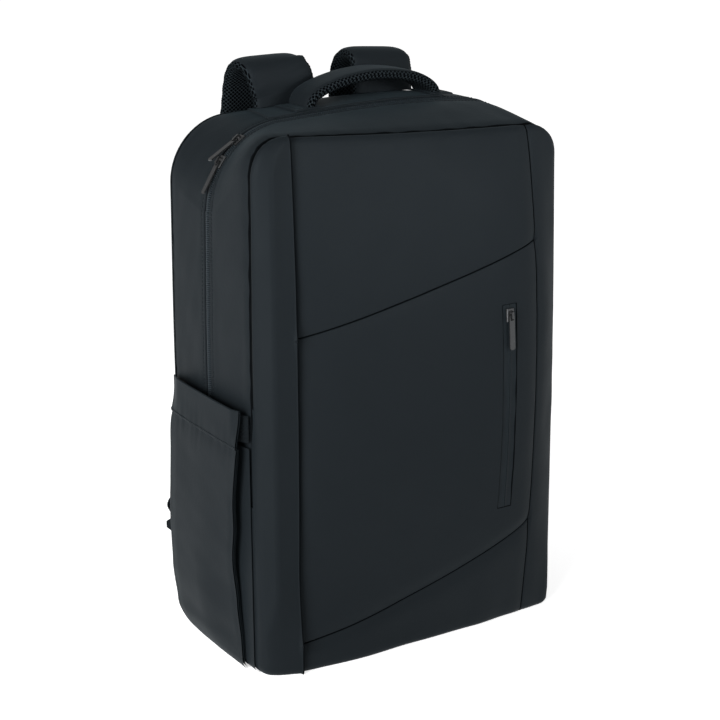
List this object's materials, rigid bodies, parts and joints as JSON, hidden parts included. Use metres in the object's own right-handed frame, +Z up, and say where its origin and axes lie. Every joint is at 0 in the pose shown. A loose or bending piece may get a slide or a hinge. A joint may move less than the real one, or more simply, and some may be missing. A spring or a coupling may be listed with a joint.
{
  "type": "laptop backpack",
  "caption": "Box-shaped laptop backpack in coated cloth, with slanted front seams, a front pocket zip, a main zip over the top, side pockets, carry handle and padded straps.",
  "frame": {"origin": "middle of the base panel's underside, on the floor", "axes": "+Z up, the front panel faces -Y, the back panel and straps face +Y, +X is to the right seen from the front"},
  "size_m": [0.3267, 0.2317, 0.4985],
  "materials": {
    "shell_cloth": "matt coated cloth",
    "mesh_cloth": "spacer mesh",
    "ribbon": "woven webbing",
    "zip_tape": "coated tape and coil",
    "zip_metal": "satin black",
    "buckle_plastic": "moulded"
  },
  "bodies": {
    "root": {"back_panel": "mesh_cloth", "base_panel": "shell_cloth", "front_gusset": "shell_cloth", "front_left_strip": "shell_cloth", "front_lower_panel": "shell_cloth", "front_middle_panel": "shell_cloth", "front_right_strip": "shell_cloth", "front_upper_panel": "shell_cloth", "front_zip_pull": "zip_metal", "front_zip_slider": "zip_metal", "front_zip_tape": "zip_tape", "handle_cover": "shell_cloth", "handle_left_end": "shell_cloth", "handle_mesh": "mesh_cloth", "handle_right_end": "shell_cloth", "left_pocket_bellows": "shell_cloth", "left_pocket_elastic": "ribbon", "left_pocket_hem": "shell_cloth", "left_pocket_panel": "shell_cloth", "left_side_panel": "shell_cloth", "left_strap_cover": "shell_cloth", "left_strap_lock": "buckle_plastic", "left_strap_loop": "ribbon", "left_strap_mesh": "mesh_cloth", "left_strap_tab": "ribbon", "left_strap_webbing": "ribbon", "main_zip_coil": "zip_tape", "main_zip_lower_pull": "zip_metal", "main_zip_lower_slider": "zip_metal", "main_zip_tape": "zip_tape", "main_zip_upper_pull": "zip_metal", "main_zip_upper_slider": "zip_metal", "rear_gusset": "shell_cloth", "right_pocket_bellows": "shell_cloth", "right_pocket_elastic": "ribbon", "right_pocket_hem": "shell_cloth", "right_pocket_panel": "shell_cloth", "right_side_panel": "shell_cloth", "right_strap_cover": "shell_cloth", "right_strap_lock": "buckle_plastic", "right_strap_loop": "ribbon", "right_strap_mesh": "mesh_cloth", "right_strap_tab": "ribbon", "right_strap_webbing": "ribbon", "top_yoke": "shell_cloth"}
  },
  "joints": []
}
